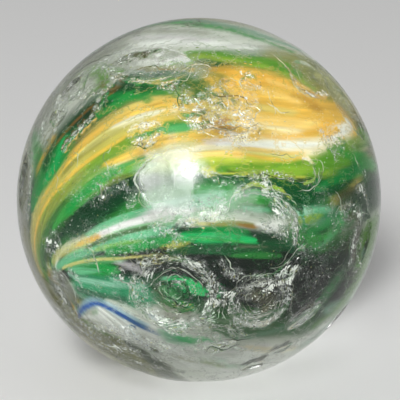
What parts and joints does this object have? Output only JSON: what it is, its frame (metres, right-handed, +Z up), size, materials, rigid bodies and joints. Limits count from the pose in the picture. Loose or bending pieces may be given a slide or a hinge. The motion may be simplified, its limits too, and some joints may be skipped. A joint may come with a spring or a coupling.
{
  "type": "glass marble",
  "caption": "Worn handmade glass ball with coloured strands under clear glass, a pontil at each end and many flakes and shell scars.",
  "frame": {"origin": "centre of the ball", "axes": "+Z up; the worn face looks along -Y and is tipped up 20 degrees; +X to its right"},
  "size_m": [0.025, 0.025, 0.025],
  "materials": {
    "clear_glass": "clear casing glass, pitted, hazy at the rim and rough in its scars",
    "cane_colours": "strands of green, amber, white and blue glass fused under the casing",
    "crushed_glass": "white crushed glass in the scars and cracks"
  },
  "bodies": {
    "root": {"marble": "clear_glass"}
  },
  "joints": []
}
